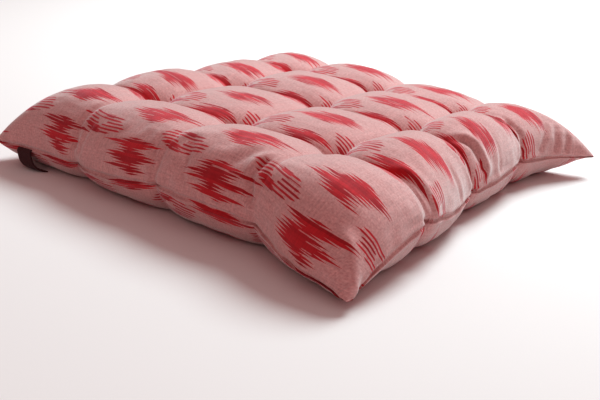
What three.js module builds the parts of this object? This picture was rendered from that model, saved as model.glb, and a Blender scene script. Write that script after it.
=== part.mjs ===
// A square chair pad of ikat cotton, stuffed with loose fibre and tufted right through at nine
// places, so that it stands in four rows of four puffs. It lies on its back on a flat surface.
// Millimetres, +Z up. The origin is on the surface, under the middle of the pad.
// The pad's near corner points to -X -Y, and "length" along the weave's stripes runs along Y.
import * as THREE from "three";

// Driving dimensions
const SIDE = 400; // corner to corner along each side
const PUFFS = 4; // puffs in a row, parted by the tufting lines
const CROWN_HEIGHT = 73; // top of a puff above the surface
const TOP_TUFT_DEPTH = 20; // how far a tuft pulls the upper panel down
const TOP_CREASE_DEPTH = 7; // depth of the crease half way between two tufts
const TOP_ROUND = 71; // width of the upper panel's rounded shoulder
const BASE_TUFT_DEPTH = 20;
const BASE_CREASE_DEPTH = 10;
const BASE_ROUND = 37; // width of the lower panel's rounded shoulder
const BASE_CORNER_SLACK = 0.35; // 0 for corners as full as the sides, 1 for slack ones
const BASE_PRESS = 6; // how far the lower puffs are pressed flat by the surface
const SHOULDER_POWER = 2.4; // 2 is a quarter circle, more is a squarer shoulder
const CREASE_REACH = 2.2; // how quickly a crease shallows away from its tufts
const PUFF_FULLNESS = 0.62; // below 1 a puff is round between its creases
const DRAW_REACH = 5; // how quickly the drawn-in side fades towards the middle
const CORNER_RADIUS = 50;
// The empty corners stand off the surface, each by its own height.
const CORNER_LIFT = { left: 4, near: 2, right: 9, back: 8 };

// Mesh: cells in each puff, closer together beside the creases and the seam
const CELLS_IN_PUFF = 10;
const CELLS = PUFFS * CELLS_IN_PUFF;
const CELL_CROWDING = 0.8;

// The tape tie, sewn into the seam of the left side near the left corner and tucked underneath
const TIE_WIDTH = 18;
const TIE_THICKNESS = 1.2;
const TIE_GAP = 0.4; // clear of the seam
const TIE_AT = 0.093; // its middle, as a share of the left side from the left corner
const TIE_BEND = 5; // radius where it turns in over the surface
const TIE_TUCK = 10; // how far it goes in under the pad
const TIE_LEAN = 7; // its tucked end lies this much nearer to the near corner
const TIE_CELLS_WIDE = 4;
const TIE_STEPS = { drop: 4, bend: 6, floor: 4 };

// The seam along each side, at every half puff from corner to corner:
// how far the side is drawn in, and how high the seam runs.
// left runs from the left corner to the near corner, right from the near to the right corner,
// back_left from the left to the back corner, and back_right from the back to the right corner.
const SEAM = {
  left: {
    drawn: [0, 8, 10, 8, 10, 11, 14, 3, 0],
    height: [19, 19, 18, 22, 28, 28, 24, 13, 6],
  },
  right: {
    drawn: [0, 2, 3, 11, 22, 24, 28, 22, 0],
    height: [6, 25, 32, 24, 24, 25, 27, 23, 19],
  },
  back_left: {
    drawn: [0, 13, 12, 14, 16, 14, 18, 13, 0],
    height: [19, 27, 29, 28, 26, 28, 27, 25, 15],
  },
  back_right: {
    drawn: [0, 14, 12, 15, 13, 15, 17, 14, 0],
    height: [15, 26, 28, 27, 26, 28, 26, 25, 19],
  },
};

// Hand tufting is uneven. Each tuft's shift along the left side and along the right side.
const TUFT_SHIFT = [
  [[-1, 0], [2, 2], [-1, 1]],
  [[2, 3], [9, 7], [6, 5]],
  [[3, 6], [14, 9], [12, 5]],
];

// Extra height of each puff: rows from the back left edge to the right edge, and in each row
// from the left side to the back right side.
const PUFF_EXTRA = [
  [0, 2, -2, -3],
  [0, -1, 1, -1],
  [1, 0, -1, -6],
  [0, 1, 0, -5],
];

const COLOURS = { ikat: 0xc87f80, tape: 0x4a1014 };

// Smooth curve through evenly spaced values
function along(values, share) {
  const last = values.length - 1;
  const place = THREE.MathUtils.clamp(share, 0, 1) * last;
  const index = Math.min(Math.floor(place), last - 1);
  const t = place - index;
  const at = (i) => values[THREE.MathUtils.clamp(i, 0, last)];
  const before = at(index - 1);
  const start = at(index);
  const end = at(index + 1);
  const after = at(index + 2);
  const linear = (end - before) * t;
  const square = (2 * before - 5 * start + 4 * end - after) * t * t;
  const cube = (3 * start - before - 3 * end + after) * t * t * t;
  return 0.5 * (2 * start + linear + square + cube);
}

// Moves a point of the panel with the tuft beside it
function shifted(u, v) {
  let newU = u;
  let newV = v;
  TUFT_SHIFT.forEach((row, i) =>
    row.forEach(([alongLeft, alongRight], j) => {
      const nearU = Math.max(0, 1 - Math.abs(u * PUFFS - (i + 1)));
      const nearV = Math.max(0, 1 - Math.abs(v * PUFFS - (j + 1)));
      const share = THREE.MathUtils.smoothstep(nearU * nearV, 0, 1);
      newU += (share * alongLeft) / SIDE;
      newV += (share * alongRight) / SIDE;
    }),
  );
  return [newU, newV];
}

// Plan of a panel point. u runs from the left corner to the near corner, and v to the right.
function plan(panelU, panelV) {
  const [u, v] = shifted(panelU, panelV);
  const left = along(SEAM.left.drawn, u) * (1 - v) ** DRAW_REACH;
  const backRight = along(SEAM.back_right.drawn, u) * v ** DRAW_REACH;
  const backLeft = along(SEAM.back_left.drawn, v) * (1 - u) ** DRAW_REACH;
  const right = along(SEAM.right.drawn, v) * u ** DRAW_REACH;
  return [(v - 0.5) * SIDE + left - backRight, (0.5 - u) * SIDE - backLeft + right];
}

// Height of the seam's surface, spanned between the four sides
function seamHeight(u, v) {
  const across = (1 - v) * along(SEAM.left.height, u) + v * along(SEAM.back_right.height, u);
  const down = (1 - u) * along(SEAM.back_left.height, v) + u * along(SEAM.right.height, v);
  const leftCorner = SEAM.left.height[0];
  const nearCorner = SEAM.right.height[0];
  const backCorner = SEAM.back_right.height[0];
  const rightCorner = SEAM.right.height.at(-1);
  const leftEnds = (1 - u) * leftCorner + u * nearCorner;
  const backEnds = (1 - u) * backCorner + u * rightCorner;
  return across + down - ((1 - v) * leftEnds + v * backEnds);
}

// Rise of a panel from the seam inwards, across one pair of sides: 0 at the seam, then 1
function rise(share, width) {
  const inward = Math.min((Math.min(share, 1 - share) * SIDE) / width, 1);
  return (1 - (1 - inward) ** SHOULDER_POWER) ** (1 / SHOULDER_POWER);
}

// The upper panel is slack in its corners, and the lower one is filled out by the weight on it.
function upperShoulder(u, v) {
  return rise(u, TOP_ROUND) * rise(v, TOP_ROUND);
}

function lowerShoulder(u, v) {
  const acrossU = rise(u, BASE_ROUND);
  const acrossV = rise(v, BASE_ROUND);
  const least = Math.min(acrossU, acrossV);
  const most = Math.max(acrossU, acrossV);
  return least * most ** BASE_CORNER_SLACK;
}

// Depth of the creases at a panel point, deepest at the tufts
function relief(u, v, tuftDepth, creaseDepth) {
  const offU = Math.abs(Math.sin(Math.PI * PUFFS * u));
  const offV = Math.abs(Math.sin(Math.PI * PUFFS * v));
  const crease = (offLine, offTuft) => {
    const depth = creaseDepth + (tuftDepth - creaseDepth) * (1 - offTuft) ** CREASE_REACH;
    return depth * (1 - offLine ** PUFF_FULLNESS);
  };
  return Math.cbrt(crease(offU, offV) ** 3 + crease(offV, offU) ** 3);
}

function puffExtra(u, v) {
  const row = Math.min(Math.floor(u * PUFFS), PUFFS - 1);
  const column = Math.min(Math.floor(v * PUFFS), PUFFS - 1);
  const swell = Math.abs(Math.sin(Math.PI * PUFFS * u) * Math.sin(Math.PI * PUFFS * v));
  return PUFF_EXTRA[row][column] * swell ** PUFF_FULLNESS;
}

function upperPoint(u, v) {
  const seam = seamHeight(u, v);
  const creased = relief(u, v, TOP_TUFT_DEPTH, TOP_CREASE_DEPTH);
  const full = CROWN_HEIGHT + puffExtra(u, v) - creased;
  const z = seam + (full - seam) * upperShoulder(u, v);
  return new THREE.Vector3(...plan(u, v), z);
}

function cornerLift(u, v) {
  if (v < 0.5) return u < 0.5 ? CORNER_LIFT.left : CORNER_LIFT.near;
  return u < 0.5 ? CORNER_LIFT.back : CORNER_LIFT.right;
}

function lowerPoint(u, v) {
  const seam = seamHeight(u, v);
  const fromCorner = Math.hypot(Math.min(u, 1 - u), Math.min(v, 1 - v)) * SIDE;
  const lift = cornerLift(u, v) * Math.exp(-((fromCorner / CORNER_RADIUS) ** 2));
  const full = relief(u, v, BASE_TUFT_DEPTH, BASE_CREASE_DEPTH) + lift - BASE_PRESS;
  const z = seam + (full - seam) * lowerShoulder(u, v);
  return new THREE.Vector3(...plan(u, v), Math.max(z, 0));
}

// Places of the mesh lines from 0 to 1, crowded beside each tufting line and the seam
function meshLines() {
  const lines = [];
  for (let i = 0; i <= CELLS; i++) {
    const puff = Math.floor(i / CELLS_IN_PUFF);
    const t = (i % CELLS_IN_PUFF) / CELLS_IN_PUFF;
    const crowded = (1 - Math.cos(Math.PI * t)) / 2;
    lines.push((puff + t + CELL_CROWDING * (crowded - t)) / PUFFS);
  }
  return lines;
}

function geometryOf(points, faces) {
  const geometry = new THREE.BufferGeometry().setFromPoints(points);
  geometry.setIndex(faces.flat());
  geometry.computeVertexNormals();
  return geometry;
}

// The stuffed pad: an upper and a lower panel that share the points of the seam
function padGeometry() {
  const lines = meshLines();
  const points = [];
  const faces = [];
  const onSeam = (i, j) => i === 0 || j === 0 || i === CELLS || j === CELLS;
  const number = { upper: [], lower: [] };
  lines.forEach((u, i) => {
    number.upper.push([]);
    number.lower.push([]);
    lines.forEach((v, j) => {
      number.upper[i].push(points.length);
      points.push(upperPoint(u, v));
      number.lower[i].push(onSeam(i, j) ? points.length - 1 : points.length);
      if (!onSeam(i, j)) points.push(lowerPoint(u, v));
    });
  });
  const half = CELLS / 2;
  for (const [side, grid] of Object.entries(number)) {
    for (let i = 0; i < CELLS; i++) {
      for (let j = 0; j < CELLS; j++) {
        const a = grid[i][j];
        const b = grid[i + 1][j];
        const c = grid[i + 1][j + 1];
        const d = grid[i][j + 1];
        // Each cell's diagonal points at the pad's middle, so that no corner folds flat.
        const outward = i < half === j < half;
        const pair = outward ? [[a, b, c], [a, c, d]] : [[a, b, d], [b, c, d]];
        pair.forEach((face) => faces.push(side === "upper" ? face : face.reverse()));
      }
    }
  }
  return geometryOf(points, faces);
}

// The tie's run in its own upright plane, from the seam down, round the bend and in under the
// pad: each place has the distance in from the seam, the height and the direction of its face.
function tieRun(seamTop) {
  const run = [];
  const out = -TIE_GAP - TIE_THICKNESS;
  const dropEnd = TIE_BEND;
  for (let i = 0; i <= TIE_STEPS.drop; i++) {
    const t = i / TIE_STEPS.drop;
    run.push({ inward: out, height: seamTop + (dropEnd - seamTop) * t, angle: 0 });
  }
  for (let i = 1; i <= TIE_STEPS.bend; i++) {
    const angle = (Math.PI / 2) * (i / TIE_STEPS.bend);
    const inward = out + TIE_BEND * (1 - Math.cos(angle));
    run.push({ inward, height: dropEnd - TIE_BEND * Math.sin(angle), angle });
  }
  const flatStart = out + TIE_BEND;
  for (let i = 1; i <= TIE_STEPS.floor; i++) {
    const inward = flatStart + (TIE_TUCK - flatStart) * (i / TIE_STEPS.floor);
    run.push({ inward, height: 0, angle: Math.PI / 2 });
  }
  return run;
}

function tieGeometry() {
  const points = [];
  const faces = [];
  const columns = [];
  for (let k = 0; k <= TIE_CELLS_WIDE; k++) {
    const sideways = TIE_WIDTH * (k / TIE_CELLS_WIDE - 0.5);
    const u = TIE_AT + sideways / SIDE;
    const [x, y] = plan(u, 0);
    columns.push({ x, y, run: tieRun(seamHeight(u, 0) - TIE_GAP) });
  }
  const last = columns[0].run.length - 1;
  for (let step = 0; step <= last; step++) {
    for (const { x, y, run } of columns) {
      const { inward, height, angle } = run[step];
      const lean = TIE_LEAN * (step / last) ** 2;
      const outer = new THREE.Vector3(x + inward, y - lean, height);
      const face = new THREE.Vector3(Math.cos(angle), 0, Math.sin(angle));
      points.push(outer.clone().addScaledVector(face, TIE_THICKNESS), outer);
    }
  }
  const number = (step, k, layer) => (step * (TIE_CELLS_WIDE + 1) + k) * 2 + layer;
  const quad = (a, b, c, d) => faces.push([a, b, c], [a, c, d]);
  for (let step = 0; step < last; step++) {
    for (let k = 0; k < TIE_CELLS_WIDE; k++) {
      const inner = [number(step, k, 0), number(step, k + 1, 0)];
      const innerNext = [number(step + 1, k, 0), number(step + 1, k + 1, 0)];
      quad(inner[0], inner[1], innerNext[1], innerNext[0]);
      const outer = inner.map((corner) => corner + 1);
      const outerNext = innerNext.map((corner) => corner + 1);
      quad(outer[0], outerNext[0], outerNext[1], outer[1]);
    }
    const rims = [0, TIE_CELLS_WIDE].map((k) => [
      number(step, k, 0),
      number(step + 1, k, 0),
      number(step + 1, k, 1),
      number(step, k, 1),
    ]);
    quad(...rims[0]);
    quad(...rims[1].reverse());
  }
  for (let k = 0; k < TIE_CELLS_WIDE; k++) {
    const start = [number(0, k, 0), number(0, k, 1), number(0, k + 1, 1), number(0, k + 1, 0)];
    const end = start.map((corner) => corner + number(last, 0, 0));
    quad(...start);
    quad(...end.reverse());
  }
  return geometryOf(points, faces);
}

function cloth(name, geometry, color) {
  const material = new THREE.MeshStandardMaterial({ color, roughness: 0.9, metalness: 0 });
  const mesh = new THREE.Mesh(geometry, material);
  mesh.name = name;
  return mesh;
}

const chairPad = new THREE.Group();
chairPad.add(cloth("pad", padGeometry(), COLOURS.ikat));
chairPad.add(cloth("corner_tie", tieGeometry(), COLOURS.tape));

export default chairPad;
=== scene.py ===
"""A square tufted chair pad of ikat cotton, lying on a plain pale floor."""

import math

import bmesh
import bpy
import numpy as np
from mathutils import Matrix


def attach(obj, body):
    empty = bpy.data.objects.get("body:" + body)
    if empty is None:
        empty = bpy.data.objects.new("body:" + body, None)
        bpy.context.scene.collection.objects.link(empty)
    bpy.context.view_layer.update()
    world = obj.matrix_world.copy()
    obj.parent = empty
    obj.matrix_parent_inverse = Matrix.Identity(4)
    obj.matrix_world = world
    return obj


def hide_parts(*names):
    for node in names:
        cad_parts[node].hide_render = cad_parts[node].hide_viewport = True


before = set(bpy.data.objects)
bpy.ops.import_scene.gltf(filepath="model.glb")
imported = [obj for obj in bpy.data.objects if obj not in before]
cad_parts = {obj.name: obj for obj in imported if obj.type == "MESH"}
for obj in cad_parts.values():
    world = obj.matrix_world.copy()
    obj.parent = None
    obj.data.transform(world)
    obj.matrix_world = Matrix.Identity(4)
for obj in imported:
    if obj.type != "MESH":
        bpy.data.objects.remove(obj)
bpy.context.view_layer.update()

# The pad's form
# Two square panels of cotton, sewn face to face, turned right side out and stuffed with loose
# fibre. Nine tufts of thread pulled right through it leave four rows of four puffs.
SIDE = 0.400  # corner to corner along each side, in metres like all that follows
PUFFS = 4
CROWN_HEIGHT = 0.073
TOP_TUFT_DEPTH = 0.024  # the tufts and creases are a little deeper than the solid's
TOP_CREASE_DEPTH = 0.012
TOP_ROUND = 0.071
BASE_TUFT_DEPTH = 0.020
BASE_CREASE_DEPTH = 0.010
BASE_ROUND = 0.037
BASE_CORNER_SLACK = 0.35
BASE_PRESS = 0.006
SHOULDER_POWER = 2.4
CREASE_REACH = 2.2
PUFF_FULLNESS = 0.7
EDGE_FULLNESS = 0.45  # towards the seam a crease narrows to a fold
EDGE_CREASE = {"left": 0.35, "right": 1.3, "back_left": 0.9, "back_right": 1.4}  # depth kept
DRAW_REACH = 5
CORNER_RADIUS = 0.050
CORNER_LIFT = {"left": 0.004, "near": 0.002, "right": 0.009, "back": 0.008}

# How far each side is drawn in and how high its seam runs, in millimetres, at every half puff:
# left runs from the left to the near corner, right from the near to the right corner,
# back_left from the left to the back corner and back_right from the back to the right corner.
SEAM_DRAWN = {
    "left": (0, 8, 10, 8, 10, 11, 14, 3, 0),
    "right": (0, 2, 3, 11, 22, 24, 28, 22, 0),
    "back_left": (0, 13, 12, 14, 16, 14, 18, 13, 0),
    "back_right": (0, 14, 12, 15, 13, 15, 17, 14, 0),
}
SEAM_HEIGHT = {
    "left": (19, 19, 18, 22, 28, 28, 24, 13, 6),
    "right": (6, 25, 32, 24, 24, 25, 27, 23, 19),
    "back_left": (19, 27, 29, 28, 26, 28, 27, 25, 15),
    "back_right": (15, 26, 28, 27, 26, 28, 26, 25, 19),
}
# Each tuft's shift in millimetres, along the left side and along the right side
TUFT_SHIFT = (
    ((-1, 0), (2, 2), (-1, 1)),
    ((2, 3), (9, 7), (6, 5)),
    ((3, 6), (14, 9), (12, 5)),
)
# Extra height of each puff in millimetres, rows from the back left edge to the right edge
PUFF_EXTRA = ((0, 2, -2, -3), (0, -1, 1, -1), (1, 0, -1, -6), (0, 1, 0, -5))


def along(millimetres, share):
    """Smooth curve through evenly spaced values, in metres."""
    values = np.array(millimetres) / 1000
    last = len(values) - 1
    place = np.clip(share, 0, 1) * last
    index = np.minimum(place.astype(int), last - 1)
    t = place - index
    before, start, end, after = (values[np.clip(index + k, 0, last)] for k in (-1, 0, 1, 2))
    linear = (end - before) * t
    square = (2 * before - 5 * start + 4 * end - after) * t**2
    cube = (3 * start - before - 3 * end + after) * t**3
    return 0.5 * (2 * start + linear + square + cube)


def plan(panel_u, panel_v):
    """x and y of a panel point. u runs from the left to the near corner, and v to the right."""
    u, v = panel_u.copy(), panel_v.copy()
    for i, row in enumerate(TUFT_SHIFT, 1):
        for j, (along_left, along_right) in enumerate(row, 1):
            near_u = np.maximum(0, 1 - abs(panel_u * PUFFS - i))
            near_v = np.maximum(0, 1 - abs(panel_v * PUFFS - j))
            share = near_u * near_v
            share = share**2 * (3 - 2 * share)
            u += share * along_left / 1000 / SIDE
            v += share * along_right / 1000 / SIDE
    left = along(SEAM_DRAWN["left"], u) * (1 - v) ** DRAW_REACH
    back_right = along(SEAM_DRAWN["back_right"], u) * v**DRAW_REACH
    back_left = along(SEAM_DRAWN["back_left"], v) * (1 - u) ** DRAW_REACH
    right = along(SEAM_DRAWN["right"], v) * u**DRAW_REACH
    return (v - 0.5) * SIDE + left - back_right, (0.5 - u) * SIDE - back_left + right


def seam_height(u, v):
    """Height of the seam's surface, spanned between the four sides."""
    across = (1 - v) * along(SEAM_HEIGHT["left"], u) + v * along(SEAM_HEIGHT["back_right"], u)
    down = (1 - u) * along(SEAM_HEIGHT["back_left"], v) + u * along(SEAM_HEIGHT["right"], v)
    left_end, near_end = SEAM_HEIGHT["left"][0] / 1000, SEAM_HEIGHT["right"][0] / 1000
    back_end, right_end = SEAM_HEIGHT["back_right"][0] / 1000, SEAM_HEIGHT["right"][-1] / 1000
    ends = (1 - v) * ((1 - u) * left_end + u * near_end)
    return across + down - ends - v * ((1 - u) * back_end + u * right_end)


def rise(share, width):
    """Rise of a panel from the seam inwards, across one pair of sides."""
    inward = np.clip(np.minimum(share, 1 - share) * SIDE / width, 0, 1)
    return (1 - (1 - inward) ** SHOULDER_POWER) ** (1 / SHOULDER_POWER)


def relief(u, v, tuft_depth, crease_depth):
    """Depth of the creases at a panel point, deepest at the tufts."""
    off_u = abs(np.sin(math.pi * PUFFS * u))
    off_v = abs(np.sin(math.pi * PUFFS * v))

    def crease(off_line, off_tuft, share, first, last):
        inside = np.clip(np.minimum(share, 1 - share) * PUFFS, 0, 1)
        edge = np.where(share < 0.5, EDGE_CREASE[first], EDGE_CREASE[last])
        fullness = EDGE_FULLNESS + (PUFF_FULLNESS - EDGE_FULLNESS) * inside
        depth = crease_depth * (edge + (1 - edge) * inside**2)
        depth = depth + (tuft_depth - depth) * (1 - off_tuft) ** CREASE_REACH
        return depth * (1 - off_line**fullness)

    rows = crease(off_u, off_v, v, "left", "back_right")
    columns = crease(off_v, off_u, u, "back_left", "right")
    return np.cbrt(rows**3 + columns**3)


def upper_form(u, v):
    seam = seam_height(u, v)
    row = np.clip((u * PUFFS).astype(int), 0, PUFFS - 1)
    column = np.clip((v * PUFFS).astype(int), 0, PUFFS - 1)
    swell = abs(np.sin(math.pi * PUFFS * u) * np.sin(math.pi * PUFFS * v)) ** PUFF_FULLNESS
    extra = np.array(PUFF_EXTRA)[row, column] / 1000 * swell
    full = CROWN_HEIGHT + extra - relief(u, v, TOP_TUFT_DEPTH, TOP_CREASE_DEPTH)
    z = seam + (full - seam) * rise(u, TOP_ROUND) * rise(v, TOP_ROUND)
    return np.stack([*plan(u, v), z], axis=-1)


def lower_form(u, v):
    seam = seam_height(u, v)
    left_half = np.where(u < 0.5, CORNER_LIFT["left"], CORNER_LIFT["near"])
    right_half = np.where(u < 0.5, CORNER_LIFT["back"], CORNER_LIFT["right"])
    from_corner = np.hypot(np.minimum(u, 1 - u), np.minimum(v, 1 - v)) * SIDE
    lift = np.where(v < 0.5, left_half, right_half) * np.exp(-((from_corner / CORNER_RADIUS) ** 2))
    full = relief(u, v, BASE_TUFT_DEPTH, BASE_CREASE_DEPTH) + lift - BASE_PRESS
    across_u, across_v = rise(u, BASE_ROUND), rise(v, BASE_ROUND)
    most = np.maximum(across_u, across_v)
    z = seam + (full - seam) * np.minimum(across_u, across_v) * most**BASE_CORNER_SLACK
    return np.stack([*plan(u, v), np.maximum(z, 0)], axis=-1)


# The cover's cloth
# Both panels are cut to one square. Mesh lines follow the cloth's threads and are evenly spaced
# on it, so they crowd in plan where the cloth climbs the pad's sides. Each tuft is on a crossing.
STUFFING_CELLS = (26, 22, 22, 26)  # across the four puffs, while the stuffing swells the cloth
FINE_CELLS = (52, 44, 44, 52)
SEAM_LINES = (0.0005, 0.0010, 0.0016)  # extra lines this far from the seam, for its groove
PROBES = (0.06, 0.125, 0.19, 0.31, 0.375, 0.44)  # where the cloth is measured, and mirrored
RUN_STEPS = 4001


def run_of_cloth():
    """Mean length of cloth from the middle of a panel, against the share along a side."""
    share = np.linspace(0, 1, RUN_STEPS)
    lengths = []
    for probe in (*PROBES, *(1 - probe for probe in PROBES[::-1])):
        held = np.full_like(share, probe)
        for run in (upper_form(share, held), upper_form(held, share)):
            steps = np.linalg.norm(np.diff(run, axis=0), axis=1)
            lengths.append(np.concatenate([[0], np.cumsum(steps)]))
    length = np.mean(lengths, axis=0)
    return share, length - length[-1] / 2


side_share, cloth_run = run_of_cloth()
tuft_places = np.interp(np.arange(PUFFS + 1) / PUFFS, side_share, cloth_run)


class Threads:
    """A grid of mesh lines on both panels, which share the points of the seam."""

    def __init__(self, cells, seam_lines=()):
        spans = zip(tuft_places, tuft_places[1:], cells)
        places = [np.linspace(a, b, n + 1)[:-1] for a, b, n in spans]
        beside = [[tuft_places[0] + k, tuft_places[-1] - k] for k in seam_lines]
        self.places = np.sort(np.concatenate([*places, [tuft_places[-1]], *beside]))
        self.last = len(self.places) - 1
        self.tufts = [int(np.argmin(abs(self.places - place))) for place in tuft_places]
        shares = np.interp(self.places, cloth_run, side_share)
        self.u, self.v = np.meshgrid(shares, shares, indexing="ij")
        shape = self.u.shape
        self.seam = np.zeros(shape, bool)
        self.seam[[0, -1], :] = self.seam[:, [0, -1]] = True
        self.upper = np.arange(self.u.size).reshape(shape)
        self.lower = self.upper.copy()
        self.lower[~self.seam] = self.u.size + np.arange((~self.seam).sum())

    def joined(self, upper, lower):
        """One list of points from a grid for each panel."""
        return np.concatenate([upper.reshape(-1, 3), lower[~self.seam]])

    def faces(self):
        return np.concatenate([panel_faces(self.upper, True), panel_faces(self.lower, False)])


def panel_faces(number, faces_up):
    a, b = number[:-1, :-1], number[1:, :-1]
    c, d = number[1:, 1:], number[:-1, 1:]
    order = (a, b, c, d) if faces_up else (a, d, c, b)
    return np.stack(order, axis=-1).reshape(-1, 4)


def mesh_object(name, points, faces):
    mesh = bpy.data.meshes.new(name)
    mesh.from_pydata(np.asarray(points).tolist(), [], np.asarray(faces).tolist())
    mesh.validate()
    obj = bpy.data.objects.new(name, mesh)
    bpy.context.collection.objects.link(obj)
    return obj


# The stuffing
# Loose fibre pushes the slack cloth out between the tufts, and the spare cloth gathers along
# the seam and round each tuft. Blender's Cloth does this from the flat cut, its tufts pinned.
PRESSURE = 4.0
CUT_FULLNESS = 1.015  # how much larger the panels are cut than the stuffed form's own lengths
CLOTH_FRAMES = 20
SWELLING_ROUNDS = 60  # of evening out, which leave the even swelling alone
FOLD_STRENGTH = 1.15
MOST_MOVEMENT = 0.006


def joined_edges(faces):
    pairs = np.concatenate([faces[:, [k, (k + 1) % 4]] for k in range(4)])
    return np.unique(np.sort(pairs, axis=1), axis=0)


def evened(values, edges, rounds):
    """Each point's value shared out among its neighbours, a number of times over."""
    count = np.bincount(edges.ravel(), minlength=len(values))[:, None]
    for _ in range(rounds):
        total = np.zeros_like(values)
        np.add.at(total, edges[:, 0], values[edges[:, 1]])
        np.add.at(total, edges[:, 1], values[edges[:, 0]])
        values = (values + total / count) / 2
    return values


def swelled(points, threads):
    """Where the cloth's points lie once the stuffing has swelled it."""
    cover = mesh_object("cover_before_stuffing", points, threads.faces())
    tufts = cover.vertex_groups.new(name="tufts")
    crossings = np.ix_(threads.tufts[1:-1], threads.tufts[1:-1])
    pinned = [threads.upper[crossings].ravel(), threads.lower[crossings].ravel()]
    tufts.add(np.concatenate(pinned).tolist(), 1.0, "REPLACE")
    across, down = np.meshgrid(threads.places, -threads.places)
    flat = np.stack([across, down, 0 * down], axis=-1) * CUT_FULLNESS
    cover.shape_key_add(name="stuffed")
    cut = cover.shape_key_add(name="cut")
    cut.data.foreach_set("co", threads.joined(flat, flat).astype(np.float32).ravel())
    cloth = cover.modifiers.new("cloth", "CLOTH")
    cloth.point_cache.frame_start = 1
    cloth.point_cache.frame_end = CLOTH_FRAMES
    ways = cloth.settings
    ways.quality = 6
    ways.mass = 0.02
    ways.tension_stiffness = ways.compression_stiffness = 5
    ways.shear_stiffness = 2
    ways.bending_stiffness = 0.05
    ways.tension_damping = ways.compression_damping = ways.shear_damping = 1
    ways.bending_damping = 0.5
    ways.air_damping = 1
    ways.use_pressure = True
    ways.uniform_pressure_force = PRESSURE
    ways.effector_weights.gravity = 0
    ways.vertex_group_mass = "tufts"
    ways.rest_shape_key = cut
    for number in range(1, CLOTH_FRAMES + 1):
        bpy.context.scene.frame_set(number)
    evaluated = cover.evaluated_get(bpy.context.evaluated_depsgraph_get())
    found = np.empty(len(points) * 3, np.float32)
    evaluated.data.vertices.foreach_get("co", found)
    bpy.context.scene.frame_set(1)
    bpy.data.objects.remove(cover)
    return found.reshape(-1, 3).astype(float)


def folds(threads):
    """The folds that the stuffing makes: its movement of each point, less the even swelling."""
    start = threads.joined(upper_form(threads.u, threads.v), lower_form(threads.u, threads.v))
    movement = swelled(start, threads) - start
    movement -= evened(movement, joined_edges(threads.faces()), SWELLING_ROUNDS)
    movement = evened(movement, joined_edges(threads.faces()), 1) * FOLD_STRENGTH
    size = np.linalg.norm(movement, axis=1, keepdims=True)
    return movement * MOST_MOVEMENT * np.tanh(size / MOST_MOVEMENT) / np.maximum(size, 1e-9)


def at_finer(values, places, finer_places):
    """A grid's values between its lines, smoothly, along the first way of the grid."""
    index = np.clip(np.searchsorted(places, finer_places, "right") - 1, 0, len(places) - 2)
    span = np.diff(places)[index]
    t = ((finer_places - places[index]) / span)[:, None, None]
    span = span[:, None, None]
    slopes = np.gradient(values, places, axis=0)
    start, end = values[index], values[index + 1]
    leave, arrive = slopes[index] * span, slopes[index + 1] * span
    cubic = 2 * (start - end) + leave + arrive
    return start + leave * t + (3 * (end - start) - 2 * leave - arrive) * t**2 + cubic * t**3


fine = Threads(FINE_CELLS, SEAM_LINES)
upper_shape = upper_form(fine.u, fine.v)
lower_shape = lower_form(fine.u, fine.v)
upper_smooth, lower_smooth = upper_shape.copy(), lower_shape.copy()
coarse = Threads(STUFFING_CELLS)
fold = folds(coarse)
for number, shape in ((coarse.upper, upper_shape), (coarse.lower, lower_shape)):
    panel_fold = at_finer(fold[number], coarse.places, fine.places).transpose(1, 0, 2)
    panel_fold = at_finer(panel_fold, coarse.places, fine.places).transpose(1, 0, 2)
    shape += panel_fold

# The long folds
# Where a tufting thread draws the cloth down to the seam, the spare cloth lies over in a fold: a
# crease with one raised side. Each runs through points given as shares along the panel's sides.
FOLDS = (
    # points, depth, half width and raised side's height in millimetres
    (((0.250, 0.120), (0.243, 0.072), (0.236, 0.040), (0.246, 0.012)), 2.2, 2.4, 1.0),
    (((0.275, 0.050), (0.268, 0.028), (0.272, 0.006)), 1.2, 2.0, 0.5),
    (((0.462, 0.085), (0.474, 0.045), (0.487, 0.016), (0.494, 0.002)), 1.6, 2.2, -0.8),
    (((0.556, 0.060), (0.568, 0.030), (0.581, 0.008)), 1.4, 2.0, 0.7),
    (((0.738, 0.100), (0.724, 0.062), (0.722, 0.040), (0.736, 0.014)), 3.2, 2.6, -1.6),
    (((0.880, 0.250), (0.920, 0.257), (0.960, 0.267), (0.995, 0.272)), 2.0, 3.0, 1.2),
    (((0.870, 0.440), (0.929, 0.457), (0.959, 0.473), (0.990, 0.490)), 2.6, 3.0, -1.6),
    (((0.870, 0.505), (0.926, 0.530), (0.952, 0.542), (0.990, 0.548)), 3.4, 3.2, 2.2),
    (((0.869, 0.784), (0.916, 0.767), (0.962, 0.768), (0.998, 0.752)), 3.0, 2.8, -1.8),
    (((0.940, 0.906), (0.978, 0.862), (0.998, 0.832)), 1.6, 2.6, 1.0),
    (((0.955, 0.925), (0.980, 0.900), (0.998, 0.885)), 1.8, 2.4, 1.2),
    (((0.960, 0.948), (0.985, 0.930), (0.998, 0.918)), 1.6, 2.0, 1.0),
    (((0.950, 0.240), (0.975, 0.236), (0.998, 0.235)), 1.2, 2.2, -0.6),
    (((0.940, 0.395), (0.970, 0.402), (0.998, 0.412)), 1.0, 2.4, 0.5),
    (((0.930, 0.640), (0.965, 0.634), (0.998, 0.622)), 1.0, 2.4, -0.5),
    (((0.945, 0.050), (0.975, 0.035), (0.996, 0.016)), -3.6, 5.0, 0.0),
)
FOLD_FADE = 0.35  # the share of a fold over which it comes up
RAISED_PLACE = 2.0  # half widths from the crease to the middle of the raised side
RAISED_WIDTH = 1.4  # half widths


def at_shares(shape, u, v):
    """Where a place given as shares along the sides lies on a panel."""
    row = int(np.argmin(abs(fine.u[:, 0] - u)))
    column = int(np.argmin(abs(fine.v[0] - v)))
    return shape[row, column]


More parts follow.
